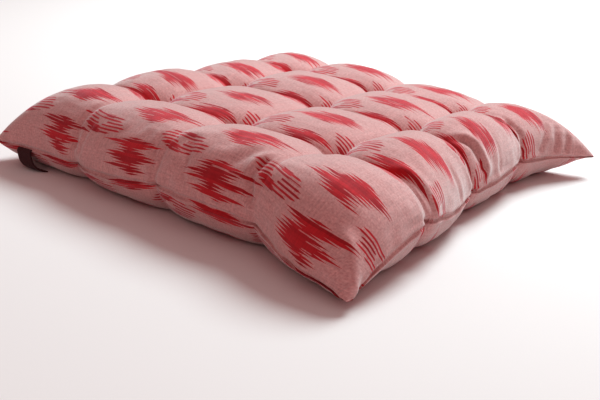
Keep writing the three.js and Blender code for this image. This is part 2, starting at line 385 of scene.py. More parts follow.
def lay_folds(shape):
    along_u, along_v = np.gradient(shape, axis=0), np.gradient(shape, axis=1)
    normal = np.cross(along_u, along_v)
    normal /= np.maximum(np.linalg.norm(normal, axis=-1, keepdims=True), 1e-12)
    lift = np.zeros(fine.u.shape)
    for places, depth, width, raised in FOLDS:
        points = [at_shares(shape, u, v) for u, v in places]
        nearest = np.full(fine.u.shape, 1.0)
        sideways = np.zeros(fine.u.shape)
        run = np.zeros(fine.u.shape)
        for number, (start, end) in enumerate(zip(points, points[1:])):
            way = end - start
            share = np.clip(((shape - start) @ way) / (way @ way), 0, 1)
            off = shape - start - share[..., None] * way
            distance = np.linalg.norm(off, axis=-1)
            closer = distance < nearest
            nearest[closer] = distance[closer]
            side = np.sign(np.einsum("ijk,ijk->ij", np.cross(way, off), normal))
            sideways[closer] = (distance * side)[closer]
            run[closer] = ((number + share) / (len(points) - 1))[closer]
        fade = np.clip(run / FOLD_FADE, 0, 1)
        fade = fade * fade * (3 - 2 * fade)
        width = width / 1000
        line = np.exp(-((nearest / width) ** 2))
        off_raised = sideways - math.copysign(RAISED_PLACE * width, raised)
        bank = np.exp(-((off_raised / (RAISED_WIDTH * width)) ** 2))
        lift += fade * (abs(raised) * bank - depth * line) / 1000
    shape += normal * lift[..., None]


lay_folds(upper_shape)

# The seam
# The panels' edges are turned in and sewn with a plain seam, which lies in a narrow groove with
# a soft lip on each side. It is gathered unevenly, and each tufting line pinches it hard.
GROOVE_DEPTH = 0.0013
GROOVE_WIDTH = 0.0011
LIP_HEIGHT = 0.0012
LIP_PLACE = 0.0030
LIP_WIDTH = 0.0022
SEAM_UNEVENNESS = 0.35
UNEVEN_LENGTH = 0.006
SEAM_CORNER = 0.020
PINCH = {"left": 0.004, "right": 0.008, "back_left": 0.005, "back_right": 0.006}
PINCH_REACH = 0.007
PINCH_FADE = 0.012
RIPPLE = 0.0009
RIPPLE_LENGTH = 0.011
RIPPLE_FADE = 0.016


def uneven_along(places, length, seed):
    """Smooth chance from about -1 to 1 along the seam."""
    chance = np.random.default_rng(seed).normal(size=int(1.2 / length)) * 0.6
    steps = np.arange(len(chance)) * length - 0.5
    fine_steps = np.linspace(-0.5, 0.5, 2001)
    rough = np.interp(fine_steps, steps, chance)
    window = np.hanning(max(3, int(length * 1200)))
    return np.interp(places, fine_steps, np.convolve(rough, window / window.sum(), "same"))


def dress_seam(shape):
    """Moves a panel's points beside the seam: the groove, its lips, the gathers and pinches."""
    places = fine.places
    half = places[-1]
    sides = {
        "left": (places + half, (1, 0), 0),
        "right": (half - places, (0, 1), 1),
        "back_left": (places + half, (0, -1), 1),
        "back_right": (half - places, (-1, 0), 0),
    }
    for seed, (name, (off_seam, inward, way)) in enumerate(sides.items(), 1):
        grown = np.clip((half - abs(places)) / SEAM_CORNER, 0, 1)
        grown = grown * grown * (3 - 2 * grown)
        groove = np.exp(-((off_seam / GROOVE_WIDTH) ** 2)) * GROOVE_DEPTH
        lip = -np.exp(-(((off_seam - LIP_PLACE) / LIP_WIDTH) ** 2)) * LIP_HEIGHT
        uneven = 1 + SEAM_UNEVENNESS * uneven_along(places, UNEVEN_LENGTH, seed)
        pinch = sum(np.exp(-(((places - k) / PINCH_REACH) ** 2)) for k in tuft_places[1:-1])
        ripple = uneven_along(places, RIPPLE_LENGTH, seed + 10) * RIPPLE
        along_seam = [grown * uneven, PINCH[name] * pinch, grown * ripple]
        off = [groove + lip, np.exp(-off_seam / PINCH_FADE), np.exp(-off_seam / RIPPLE_FADE)]
        draw = sum(np.outer(a, b) if way == 0 else np.outer(b, a) for a, b in zip(along_seam, off))
        shape[:, :, :2] += draw[:, :, None] * np.array(inward)


dress_seam(upper_shape)
dress_seam(lower_shape)
upper_shape[:, :, 2] = np.maximum(upper_shape[:, :, 2], 0)
lower_shape[:, :, 2] = np.maximum(lower_shape[:, :, 2], 0)
pad = mesh_object("stuffed_pad", fine.joined(upper_shape, lower_shape), fine.faces())
pad.data.polygons.foreach_set("use_smooth", [True] * len(pad.data.polygons))

# The lie of the cloth
# Where each point of the sewn cover lay on the two flat squares before they were sewn, in
# metres. The dyed figures and the weave follow this, so they bend and gather with the cloth.
GATHER_CLOSENESS = 3  # how close to a tuft the spare cloth is gathered
GATHER_EVENLY = 0.8  # how much of it is taken up evenly instead
LOWER_SHIFT = (0.091, 0.127)  # the lower panel was cut this much further on


def lying_cloth(form):
    """Where each mesh point lies on the flat cloth: true lengths from the seam and across each
    puff, with the cloth to spare gathered beside the tufts."""
    steps = np.linalg.norm(np.diff(form, axis=1), axis=2)
    lengths = np.concatenate([np.zeros((len(form), 1)), np.cumsum(steps, axis=1)], axis=1)
    found = np.zeros_like(lengths)
    for first, last in zip(fine.tufts, fine.tufts[1:]):
        here = lengths[:, first : last + 1] - lengths[:, first : first + 1]
        spare = fine.places[last] - fine.places[first] - here[:, -1:]
        x = here / here[:, -1:]
        low, high = 1 - (1 - x) ** GATHER_CLOSENESS, x**GATHER_CLOSENESS
        gather = (low + high) / 2
        if first == 0:
            gather = high
        elif last == fine.last:
            gather = low
        gather = gather + (x - gather) * GATHER_EVENLY
        found[:, first : last + 1] = fine.places[first] + here + spare * gather
    return found


def panel_map(form):
    turned = lying_cloth(form.transpose(1, 0, 2)).T
    return np.stack([turned, lying_cloth(form)], axis=-1).reshape(-1, 2)


upper_uv = panel_map(upper_smooth)
lower_uv = np.zeros((len(pad.data.vertices), 2))
lower_uv[fine.lower.ravel()] = panel_map(lower_smooth) + LOWER_SHIFT
corner_vertex = fine.faces().ravel()
upper_corners = corner_vertex[: len(corner_vertex) // 2]
lower_corners = corner_vertex[len(corner_vertex) // 2 :]
cloth_map = pad.data.uv_layers.new(name="cloth")
corner_uv = np.concatenate([upper_uv[upper_corners], lower_uv[lower_corners]])
cloth_map.data.foreach_set("uv", corner_uv.astype(np.float32).ravel())


# The ikat cotton
# A plain weave of pink yarns. The figures are dyed in to bundles of yarn before weaving, and each
# bundle starts and stops a little away from its neighbours, so the figures have feathered ends.
def node(tree, kind, *inputs, **settings):
    """A node with its inputs in order: a socket is linked, a value is set, None is left."""
    made = tree.nodes.new(kind)
    for name, value in settings.items():
        setattr(made, name, value)
    for socket, value in zip(made.inputs, inputs):
        if isinstance(value, bpy.types.NodeSocket):
            tree.links.new(value, socket)
        elif value is not None:
            socket.default_value = value
    return made


def maths(tree, operation, *inputs):
    return node(tree, "ShaderNodeMath", *inputs, operation=operation).outputs[0]


def spread(tree, value, low, high, new_low=0.0, new_high=1.0, smooth=False):
    kind = "SMOOTHSTEP" if smooth else "LINEAR"
    made = node(tree, "ShaderNodeMapRange", value, low, high, new_low, new_high)
    made.interpolation_type = kind
    return made.outputs[0]


def joined(tree, *values):
    return node(tree, "ShaderNodeCombineXYZ", *values).outputs[0]


def shader_group(name, inputs, outputs):
    tree = bpy.data.node_groups.new(name, "ShaderNodeTree")
    for label, kind, default in inputs:
        socket = tree.interface.new_socket(label, in_out="INPUT", socket_type=kind)
        if default is not None:
            socket.default_value = default
    for label, kind in outputs:
        tree.interface.new_socket(label, in_out="OUTPUT", socket_type=kind)
    return tree, tree.nodes.new("NodeGroupInput"), tree.nodes.new("NodeGroupOutput")


# Sizes of the figures in millimetres on the flat cloth: s runs along the dyed yarns, t across
FIGURE_LENGTH = 98.0  # one repeat along the dyed yarns
FIGURE_PITCH = 100.0  # one repeat across them
FIRST_FIGURE = (-128.0, -228.0)
BUNDLE = FIGURE_PITCH / 42
YARN = 0.5
FEATHER = 12.0
YARN_FEATHER = 1.0
SOFT_END = 1.2
SLIT_WIDTH = 0.75
SLIT_SHARE = 0.13
SLIT_HALF = (5, 16)  # shortest and longest half length of a slit
SLIT_OFF = 24  # furthest from the middle of the figure
WANDER_ALONG, WANDER_ACROSS = 7, 5  # how far the yarns wander from straight
TIP = 14.0  # length over which a bundle's dyed end narrows to a point
CHART_HALF = 50.0
# Each row of a chart: how far across the repeat, and where the dye starts and stops.
SOLID_CHART = (
    (0, 20, -20),
    (13.2, 20, -20),
    (14.8, -2.1, 16.1),
    (16.4, -10.1, 24.1),
    (18, -15.1, 30.1),
    (19.6, -19.1, 26.1),
    (21.6, -18.1, 20.1),
    (23.6, -18.1, 18.1),
    (25.2, -23.1, 22.1),
    (26.8, -33.1, 28.1),
    (28.4, -29.1, 36.1),
    (30, -26.1, 29.1),
    (32, -22.1, 21.1),
    (33.6, -19.1, 19.1),
    (35.6, -22.1, 24.1),
    (37.2, -25.1, 33.1),
    (38.8, -29.1, 40.1),
    (40.8, -24.1, 31.1),
    (42.8, -19.1, 21.1),
    (44.4, -9.1, 11.1),
    (46, 20, -20),
    (60, 20, -20),
    (63, -9.5, 13.5),
    (66, -22.5, 17.5),
    (69, -28.5, 20.5),
    (72.7, -35.5, 24.5),
    (76.4, -26.5, 26.5),
    (80.3, -22.5, 34.5),
    (84, -17.5, 31.5),
    (87, -6.5, 24.5),
    (90, 20, -20),
    (100, 20, -20),
)
# The open figure stands in rows of thin streaks. Each row: which streak of the repeat it is,
# where it starts and stops, the half width of the hollow that parts it, and from where to where
# it is run together with its neighbours.
STREAKS = 31
STREAK_TIP = 6.0
STREAK_FEATHER = 4.0
STREAK_EDGE = (0.18, 0.31)  # shares of the pitch from a streak's middle to its soft edge
STREAKS_APART = 180.0  # further along than this, beside the right side, all streaks stay apart
OPEN_CHART = (
    (11, 20, -20, -4, 20, -20),
    (12, -6, 12, -4, -2, 4),
    (13, -18, 21, -4, -14, 5),
    (14, -22, 31, -4, -19, 0),
    (15, -23, 27, 6, 20, -20),
    (16, -26, 26, 4, 20, -20),
    (17, -28, 23, -4, -3, 13),
    (18, -20, 20, -4, 0, 9),
    (19, 20, -20, -4, 20, -20),
)


def chart_curve(tree, across, chart, column):
    """A chart's column, looked up by how far across the repeat a bundle lies."""
    made = node(tree, "ShaderNodeFloatCurve", 1.0, across)
    curve = made.mapping.curves[0]
    points = [(row[0] / FIGURE_PITCH, row[column] / CHART_HALF / 2 + 0.5) for row in chart]
    if chart is OPEN_CHART:
        points = [((row[0] + 0.5) / STREAKS, row[column] / CHART_HALF / 2 + 0.5) for row in chart]
        points = [(0, points[0][1]), *points, (1, points[-1][1])]
    curve.points[0].location = points[0]
    curve.points[-1].location = points[-1]
    for point in points[1:-1]:
        curve.points.new(*point)
    for point in curve.points:
        point.handle_type = "VECTOR"
    made.mapping.update()
    return spread(tree, made.outputs[0], 0, 1, -CHART_HALF, CHART_HALF)


def ikat_group():
    tree, given, result = shader_group(
        "ikat figures",
        [("Cloth", "NodeSocketVector", None)],
        [("Dyed", "NodeSocketFloat"), ("Bundle shade", "NodeSocketFloat")],
    )
    cloth = node(tree, "ShaderNodeVectorMath", given.outputs["Cloth"], operation="SCALE")
    cloth.inputs["Scale"].default_value = 1000
    # The yarns wander a little from straight.
    wander = node(tree, "ShaderNodeTexNoise", cloth.outputs[0], None, 0.012, 1.0, 0.5)
    sides = node(tree, "ShaderNodeSeparateXYZ", wander.outputs["Color"])
    place = node(tree, "ShaderNodeSeparateXYZ", cloth.outputs[0])
    along_yarns = spread(tree, sides.outputs[0], 0, 1, -WANDER_ALONG, WANDER_ALONG)
    across_yarns = spread(tree, sides.outputs[1], 0, 1, -WANDER_ACROSS, WANDER_ACROSS)
    s = maths(tree, "ADD", place.outputs[0], along_yarns)
    t = maths(tree, "ADD", place.outputs[1], across_yarns)
    yarn = maths(tree, "FLOOR", maths(tree, "DIVIDE", t, YARN))

    def figure(chart, shift, bundle_width, tip, feather, seed):
        """The dyed mask of one kind of figure, and the places that it is worked out from."""
        bundles = maths(tree, "DIVIDE", t, bundle_width)
        bundle = maths(tree, "FLOOR", bundles)
        off_middle = maths(tree, "SUBTRACT", maths(tree, "FRACT", bundles), 0.5)
        off_middle = maths(tree, "ABSOLUTE", off_middle)
        pointed = maths(tree, "POWER", spread(tree, off_middle, 0, 0.5), 0.8)
        pointed = maths(tree, "MULTIPLY", pointed, tip)
        middle = maths(tree, "MULTIPLY", maths(tree, "ADD", bundle, 0.5), bundle_width)
        across = maths(tree, "SUBTRACT", middle, FIRST_FIGURE[1])
        across = maths(tree, "ADD", maths(tree, "DIVIDE", across, FIGURE_PITCH), 10.0)
        across = maths(tree, "FRACT", across)
        from_first = maths(tree, "SUBTRACT", s, FIRST_FIGURE[0] + shift)
        column = maths(tree, "ROUND", maths(tree, "DIVIDE", from_first, FIGURE_LENGTH))
        column_middle = maths(tree, "MULTIPLY", column, FIGURE_LENGTH)
        from_middle = maths(tree, "SUBTRACT", from_first, column_middle)
        chances = []
        for thread, number in ((bundle, seed), (yarn, seed + 5.0)):
            place = joined(tree, thread, column, number)
            chance = node(tree, "ShaderNodeTexWhiteNoise", place, noise_dimensions="3D")
            chances.append(node(tree, "ShaderNodeSeparateXYZ", chance.outputs["Color"]).outputs)
        ends = []
        for k, way in ((0, -1), (1, 1)):
            end = chart_curve(tree, across, chart, k + 1)
            loose = maths(tree, "POWER", chances[0][k], 2.2)
            loose = spread(tree, loose, 0, 1, -0.35 * feather * way, feather * way)
            fine = spread(tree, chances[1][k], 0, 1, -YARN_FEATHER, YARN_FEATHER)
            ends.append(maths(tree, "ADD", maths(tree, "ADD", end, loose), fine))
        past_start = maths(tree, "SUBTRACT", from_middle, ends[0])
        before_stop = maths(tree, "SUBTRACT", ends[1], from_middle)
        inside = maths(tree, "MINIMUM", past_start, before_stop)
        inside = maths(tree, "SUBTRACT", inside, pointed)
        dyed = spread(tree, inside, 0, SOFT_END, smooth=True)
        # Here and there a yarn has missed the dye over part of its length.
        slit = maths(tree, "FLOOR", maths(tree, "DIVIDE", t, SLIT_WIDTH))
        chance = node(tree, "ShaderNodeTexWhiteNoise", joined(tree, slit, column, seed + 9.0))
        chance = node(tree, "ShaderNodeSeparateXYZ", chance.outputs["Color"]).outputs
        slit_middle = spread(tree, chance[1], 0, 1, -SLIT_OFF, SLIT_OFF)
        off_slit = maths(tree, "SUBTRACT", from_middle, slit_middle)
        off_slit = maths(tree, "ABSOLUTE", off_slit)
        missed = maths(tree, "SUBTRACT", spread(tree, chance[2], 0, 1, *SLIT_HALF), off_slit)
        missed = spread(tree, missed, 0, 2)
        missed = maths(tree, "MULTIPLY", missed, maths(tree, "LESS_THAN", chance[0], SLIT_SHARE))
        dyed = maths(tree, "MULTIPLY", dyed, spread(tree, missed, 0, 1, 1, 0.25))
        return dyed, across, off_middle, from_middle, chances[0][2]

    solid, _, _, _, shade = figure(SOLID_CHART, 0.0, BUNDLE, TIP, FEATHER, 1.0)
    streak_pitch = FIGURE_PITCH / STREAKS
    opened, across, off_middle, from_middle, chance = figure(
        OPEN_CHART, FIGURE_LENGTH / 2, streak_pitch, STREAK_TIP, STREAK_FEATHER, 2.0
    )
    hollow = chart_curve(tree, across, OPEN_CHART, 3)
    hollow = maths(tree, "ADD", hollow, spread(tree, chance, 0, 1, -1, 1))
    beside = maths(tree, "SUBTRACT", maths(tree, "ABSOLUTE", from_middle), hollow)
    beside = spread(tree, beside, 0, SOFT_END, smooth=True)
    past_start = maths(tree, "SUBTRACT", from_middle, chart_curve(tree, across, OPEN_CHART, 4))
    before_stop = maths(tree, "SUBTRACT", chart_curve(tree, across, OPEN_CHART, 5), from_middle)
    run_together = maths(tree, "MINIMUM", past_start, before_stop)
    run_together = spread(tree, run_together, -1, 2, smooth=True)
    apart = maths(tree, "LESS_THAN", s, STREAKS_APART)
    run_together = maths(tree, "MULTIPLY", run_together, apart)
    streak = spread(tree, off_middle, *STREAK_EDGE, 1, 0, smooth=True)
    opened = maths(tree, "MULTIPLY", opened, maths(tree, "MAXIMUM", streak, run_together))
    opened = maths(tree, "MULTIPLY", opened, beside)
    tree.links.new(maths(tree, "MAXIMUM", solid, opened), result.inputs["Dyed"])
    tree.links.new(shade, result.inputs["Bundle shade"])
    return tree


def yarn_group():
    """Uneven yarns of a plain weave: a shade round 1, and a height for bump."""
    tree, given, result = shader_group(
        "uneven yarns",
        [
            ("Cloth", "NodeSocketVector", None),
            ("Yarns per metre", "NodeSocketFloat", 1500.0),
            ("Unevenness", "NodeSocketFloat", 0.1),
        ],
        [("Shade", "NodeSocketFloat"), ("Height", "NodeSocketFloat")],
    )
    place = node(tree, "ShaderNodeSeparateXYZ", given.outputs["Cloth"])
    s, t = place.outputs[0], place.outputs[1]
    close = given.outputs["Yarns per metre"]
    s_yarns, t_yarns = maths(tree, "MULTIPLY", s, close), maths(tree, "MULTIPLY", t, close)
    long_s, long_t = maths(tree, "MULTIPLY", s, 30.0), maths(tree, "MULTIPLY", t, 30.0)
    slubs = []
    for pair in (
        (maths(tree, "MULTIPLY", s_yarns, 0.5), long_t),
        (long_s, maths(tree, "MULTIPLY", t_yarns, 0.5)),
    ):
        slubs.append(node(tree, "ShaderNodeTexNoise", joined(tree, *pair), None, 1.0, 2.0, 0.6))
    both = maths(tree, "ADD", slubs[0].outputs[0], slubs[1].outputs[0])
    mottle = node(tree, "ShaderNodeTexNoise", given.outputs["Cloth"], None, 260.0, 3.0, 0.6)
    both = maths(tree, "ADD", both, maths(tree, "MULTIPLY", mottle.outputs[0], 0.9))
    uneven = maths(tree, "MULTIPLY", maths(tree, "SUBTRACT", both, 1.45), 2.0)
    uneven = maths(tree, "MULTIPLY", uneven, given.outputs["Unevenness"])
    tree.links.new(maths(tree, "ADD", uneven, 1.0), result.inputs["Shade"])
    over = [maths(tree, "SINE", maths(tree, "MULTIPLY", k, math.pi)) for k in (s_yarns, t_yarns)]
    weave = maths(tree, "ABSOLUTE", maths(tree, "MULTIPLY", *over))
    height = maths(tree, "ADD", weave, maths(tree, "MULTIPLY", both, 0.8))
    tree.links.new(height, result.inputs["Height"])
    return tree


PINK = (0.57, 0.275, 0.27, 1)
PALE_PINK = (0.72, 0.44, 0.43, 1)
RED = (0.60, 0.034, 0.045, 1)
DEEP_RED = (0.41, 0.020, 0.028, 1)
PALE_FUZZ = (0.78, 1.0, 1.0, 1)
RED_FUZZ = (0.82, 0.66, 0.74, 1)  # the loose fibres of a dyed yarn are dyed too

ikat_figures = ikat_group()
uneven_yarns = yarn_group()


def mixed(tree, share, first, second, blend="MIX"):
    made = tree.nodes.new("ShaderNodeMix")
    made.data_type = "RGBA"
    made.blend_type = blend
    for index, value in ((0, share), (6, first), (7, second)):
        if isinstance(value, bpy.types.NodeSocket):
            tree.links.new(value, made.inputs[index])
        else:
            made.inputs[index].default_value = value
    return made.outputs[2]


def placed_group(tree, group, **inputs):
    made = tree.nodes.new("ShaderNodeGroup")
    made.node_tree = group
    for name, value in inputs.items():
        socket = made.inputs[name.replace("_", " ")]
        if isinstance(value, bpy.types.NodeSocket):
            tree.links.new(value, socket)
        else:
            socket.default_value = value
    return made


def new_material(name):
    material = bpy.data.materials.new(name)
    material.use_nodes = True
    tree = material.node_tree
    return material, tree, tree.nodes["Principled BSDF"]


ikat_cotton, tree, surface = new_material("ikat cotton")
cloth_place = node(tree, "ShaderNodeUVMap", uv_map="cloth").outputs[0]
figures = placed_group(tree, ikat_figures, Cloth=cloth_place)
yarns = placed_group(
    tree, uneven_yarns, Cloth=cloth_place, Yarns_per_metre=1500.0, Unevenness=0.16
)
heather = node(tree, "ShaderNodeTexNoise", cloth_place, None, 620.0, 3.0, 0.6).outputs[0]
ground = mixed(tree, spread(tree, heather, 0.3, 0.7), PINK, PALE_PINK)
dye = mixed(tree, figures.outputs["Bundle shade"], RED, DEEP_RED)
colour = mixed(tree, figures.outputs["Dyed"], ground, dye)
shaded = node(tree, "ShaderNodeVectorMath", colour, operation="SCALE")
tree.links.new(yarns.outputs["Shade"], shaded.inputs["Scale"])
tree.links.new(shaded.outputs[0], surface.inputs["Base Color"])
bump = node(tree, "ShaderNodeBump")
bump.inputs["Strength"].default_value = 0.25
bump.inputs["Distance"].default_value = 0.0004
tree.links.new(yarns.outputs["Height"], bump.inputs["Height"])
tree.links.new(bump.outputs[0], surface.inputs["Normal"])
surface.inputs["Roughness"].default_value = 0.9
surface.inputs["Specular IOR Level"].default_value = 0.25
surface.inputs["Sheen Weight"].default_value = 0.66
fuzz = mixed(tree, figures.outputs["Dyed"], PALE_FUZZ, RED_FUZZ)
tree.links.new(fuzz, surface.inputs["Sheen Tint"])
surface.inputs["Sheen Roughness"].default_value = 0.5

pad.data.materials.clear()
pad.data.materials.append(ikat_cotton)
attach(pad, "root")
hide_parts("pad")

# The stitches
# Pink cotton thread. A cross of two stitches holds each tuft down in its dimple on both sides, and
# a few short ones draw the right side's seam together where the tufting lines pinch it.
STITCH_LENGTH = 0.0050
STITCH_RISE = 0.0009
THREAD_RADIUS = 0.00036
TUFT_STITCH_HEIGHT = 0.0016  # above the very bottom of a dimple
CROSS_GAP = 0.0007  # the second stitch of a cross lies over the first
SEAM_STITCH_PLACES = (-0.0068, -0.0031, 0.0004, 0.0036, 0.0073)  # to each side of a pinch
SEAM_STITCH_ROW = 4  # mesh lines in from the seam, where a seam stitch enters the cloth


def stitch_places():
    """The middle, turn and size of each stitch: x along it and z out of the cloth."""
    middles, turns, sizes = [], [], []

    def add(middle, along_it, outward, size):
        along_it = along_it / np.linalg.norm(along_it)
        outward = outward - (outward @ along_it) * along_it
        outward /= np.linalg.norm(outward)
        turn = np.stack([along_it, np.cross(outward, along_it), outward], axis=1)
        middles.append(middle)
        turns.append(list(Matrix(turn.tolist()).to_euler()))
        sizes.append(size)

    for shape, up in ((upper_shape, 1), (lower_shape, -1)):
        outward = np.array([0.0, 0.0, up])
        for i in fine.tufts[1:-1]:
            for j in fine.tufts[1:-1]:
                middle = shape[i, j] + TUFT_STITCH_HEIGHT * outward
                add(middle, shape[i + 3, j] - shape[i - 3, j], outward, (1, 1, 1))
                middle = middle + CROSS_GAP * outward
                add(middle, shape[i, j + 3] - shape[i, j - 3], outward, (1, 1, 1))
    for pinch in tuft_places[1:-1]:
        for place in SEAM_STITCH_PLACES:
            line = int(np.argmin(abs(fine.places - pinch - place)))
            above = upper_shape[-1 - SEAM_STITCH_ROW, line]
            below = lower_shape[-1 - SEAM_STITCH_ROW, line]
            across = above - below
            size = np.linalg.norm(across) / STITCH_LENGTH
            add((above + below) / 2, across, np.array([0.0, -1.0, 0.0]), (size, 1, 1))
    return middles, turns, sizes


def stitch_tree(material):
    tree = bpy.data.node_groups.new("sewn stitches", "GeometryNodeTree")
    tree.interface.new_socket("Places", in_out="INPUT", socket_type="NodeSocketGeometry")
    sizes = (("Length", STITCH_LENGTH), ("Rise", STITCH_RISE), ("Thread radius", THREAD_RADIUS))
    for label, _ in sizes:
        tree.interface.new_socket(label, in_out="INPUT", socket_type="NodeSocketFloat")
    tree.interface.new_socket("Seed", in_out="INPUT", socket_type="NodeSocketInt")
    tree.interface.new_socket("Stitches", in_out="OUTPUT", socket_type="NodeSocketGeometry")
    given, result = tree.nodes.new("NodeGroupInput").outputs, tree.nodes.new("NodeGroupOutput")
    half = maths(tree, "MULTIPLY", given["Length"], 0.5)
    start = joined(tree, maths(tree, "MULTIPLY", half, -1.0), 0.0, 0.0)
    top = joined(tree, 0.0, 0.0, maths(tree, "MULTIPLY", given["Rise"], 2.0))
    end = joined(tree, half, 0.0, 0.0)
    bow = node(tree, "GeometryNodeCurveQuadraticBezier", 10, start, top, end)
    ring = node(tree, "GeometryNodeCurvePrimitiveCircle", 8)
    tree.links.new(given["Thread radius"], ring.inputs["Radius"])
    thread = node(tree, "GeometryNodeCurveToMesh", bow.outputs[0], ring.outputs[0])
    thread.inputs["Fill Caps"].default_value = True
    turn = node(tree, "GeometryNodeInputNamedAttribute", "turn", data_type="FLOAT_VECTOR")
    turn = node(tree, "FunctionNodeEulerToRotation", turn.outputs[0])
    size = node(tree, "GeometryNodeInputNamedAttribute", "size", data_type="FLOAT_VECTOR")
    chance = node(tree, "FunctionNodeRandomValue", (0.9, 0.9, 0.7), (1.1, 1.1, 1.4))
    chance.data_type = "FLOAT_VECTOR"
    tree.links.new(given["Seed"], chance.inputs["Seed"])
    both = (size.outputs[0], chance.outputs[0])
    size = node(tree, "ShaderNodeVectorMath", *both, operation="MULTIPLY")
    each = node(tree, "GeometryNodeInstanceOnPoints", given["Places"])
    tree.links.new(thread.outputs[0], each.inputs["Instance"])
    tree.links.new(turn.outputs[0], each.inputs["Rotation"])
    tree.links.new(size.outputs[0], each.inputs["Scale"])
    made = node(tree, "GeometryNodeSetShadeSmooth", each.outputs[0])
    made = node(tree, "GeometryNodeRealizeInstances", made.outputs[0])
    made = node(tree, "GeometryNodeSetMaterial", made.outputs[0])
    made.inputs["Material"].default_value = material
    tree.links.new(made.outputs[0], result.inputs[0])
    inputs = {item.name: item.identifier for item in tree.interface.items_tree}
    return tree, {inputs[label]: value for label, value in (*sizes, ("Seed", 3))}


THREAD_PINK = (0.62, 0.30, 0.30, 1)
THREAD_ROSE = (0.50, 0.19, 0.20, 1)
TWIST = 1500.0  # turns of the thread's ply per metre
thread_cotton, tree, surface = new_material("cotton thread")
place = node(tree, "ShaderNodeTexCoord").outputs["Object"]
ply = node(tree, "ShaderNodeTexWave", place, TWIST, 1.0, 1.0, 1.0, bands_direction="DIAGONAL")
tree.links.new(mixed(tree, ply.outputs[1], THREAD_ROSE, THREAD_PINK), surface.inputs["Base Color"])
bump = node(tree, "ShaderNodeBump")
bump.inputs["Strength"].default_value = 0.5
bump.inputs["Distance"].default_value = 0.0002
tree.links.new(ply.outputs[1], bump.inputs["Height"])
tree.links.new(bump.outputs[0], surface.inputs["Normal"])
surface.inputs["Roughness"].default_value = 0.75
surface.inputs["Sheen Weight"].default_value = 0.3

stitch_middles, stitch_turns, stitch_sizes = stitch_places()
sewn = mesh_object("stitch_places", stitch_middles, [])
for name, values in (("turn", stitch_turns), ("size", stitch_sizes)):
    attribute = sewn.data.attributes.new(name, "FLOAT_VECTOR", "POINT")
    attribute.data.foreach_set("vector", np.array(values, np.float32).ravel())
sewing = sewn.modifiers.new("stitches", "NODES")
sewing.node_group, stitch_inputs = stitch_tree(thread_cotton)
for identifier, value in stitch_inputs.items():
    sewing[identifier] = value
evaluated = sewn.evaluated_get(bpy.context.evaluated_depsgraph_get())
stitches = bpy.data.objects.new("thread_stitches", bpy.data.meshes.new_from_object(evaluated))
bpy.context.collection.objects.link(stitches)
bpy.data.objects.remove(sewn)
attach(stitches, "root")

# The corner tie
# A short end of dark cotton tape, sewn into the left side's seam beside the left corner. It
# hangs from the seam, bends where it meets the floor and lies tucked in under the pad.
TIE_WIDTH = 0.0155
TIE_LENGTH = 0.026  # what is left of it outside the seam, laid flat
TIE_THICKNESS = 0.0010
TIE_STAND = 0.0012  # how far it stands off the seam's lips
TIE_INTO_SEAM = 0.0020
TIE_ENTRY = 0.0035  # the length that turns in to the seam
TIE_TOP_GAP = 0.0004
TIE_AT = 0.093
TIE_BEND = 0.009
TIE_TUCK = 0.0072
TIE_LEAN = 0.013
TIE_CELLS_WIDE = 12
TIE_STEPS = 40


def tie_points():
    out = -TIE_STAND - TIE_THICKNESS
    flat_start = out + TIE_BEND
    columns = []
    for k in range(TIE_CELLS_WIDE + 1):
        sideways = TIE_WIDTH * (k / TIE_CELLS_WIDE - 0.5)
        u, v = np.array([TIE_AT + sideways / SIDE]), np.zeros(1)
        x, y = (float(value[0]) for value in plan(u, v))
        top = float(seam_height(u, v)[0]) - TIE_TOP_GAP
        drop, turn, floor = top - TIE_BEND, TIE_BEND * math.pi / 2, TIE_TUCK - flat_start
        columns.append((x, y, top, drop, turn, floor))
    outer, inner = [], []
    for step in range(TIE_STEPS + 1):
        for x, y, top, drop, turn, floor in columns:
            run = step / TIE_STEPS * (drop + turn + floor)
            if run <= drop:
                angle, inward, height = 0.0, out, top - run
            elif run <= drop + turn:
                angle = (run - drop) / TIE_BEND
                inward = out + TIE_BEND * (1 - math.cos(angle))
                height = TIE_BEND * (1 - math.sin(angle))
            else:
                angle, inward, height = math.pi / 2, flat_start + run - drop - turn, 0.0
            lean = TIE_LEAN * (step / TIE_STEPS) ** 1.5
            entering = TIE_INTO_SEAM * max(0, 1 - run / TIE_ENTRY) ** 2
            point = np.array([x + inward + entering, y - lean, height])
            outer.append(point)
            inner.append(point + TIE_THICKNESS * np.array([math.cos(angle), 0, math.sin(angle)]))
    return np.array(outer), np.array(inner)


tie_outer, tie_inner = tie_points()
tie_number = np.arange(len(tie_outer)).reshape(TIE_STEPS + 1, TIE_CELLS_WIDE + 1)
tie_back = tie_number + len(tie_outer)
tie_faces = [panel_faces(tie_number, True), panel_faces(tie_back, False)]
rim = np.concatenate([
    tie_number[0, :-1], tie_number[:-1, -1], tie_number[-1, :0:-1], tie_number[:0:-1, 0]
])
after = np.roll(rim, -1)
tie_faces.append(np.stack([rim, after, after + len(tie_outer), rim + len(tie_outer)], axis=-1))
tie = mesh_object("corner_tape", np.concatenate([tie_outer, tie_inner]), np.concatenate(tie_faces))
tidy = bmesh.new()
tidy.from_mesh(tie.data)
bmesh.ops.recalc_face_normals(tidy, faces=tidy.faces)
tidy.to_mesh(tie.data)
tidy.free()

tape_map = tie.data.uv_layers.new(name="cloth")
along_tape = np.repeat(np.linspace(0, TIE_LENGTH, TIE_STEPS + 1), TIE_CELLS_WIDE + 1)
across_tape = np.tile(np.linspace(0, TIE_WIDTH, TIE_CELLS_WIDE + 1), TIE_STEPS + 1)
tape_uv = np.tile(np.stack([across_tape, along_tape], axis=-1), (2, 1))
loop_vertex = np.empty(len(tie.data.loops), np.int32)
tie.data.loops.foreach_get("vertex_index", loop_vertex)
tape_map.data.foreach_set("uv", tape_uv[loop_vertex].astype(np.float32).ravel())

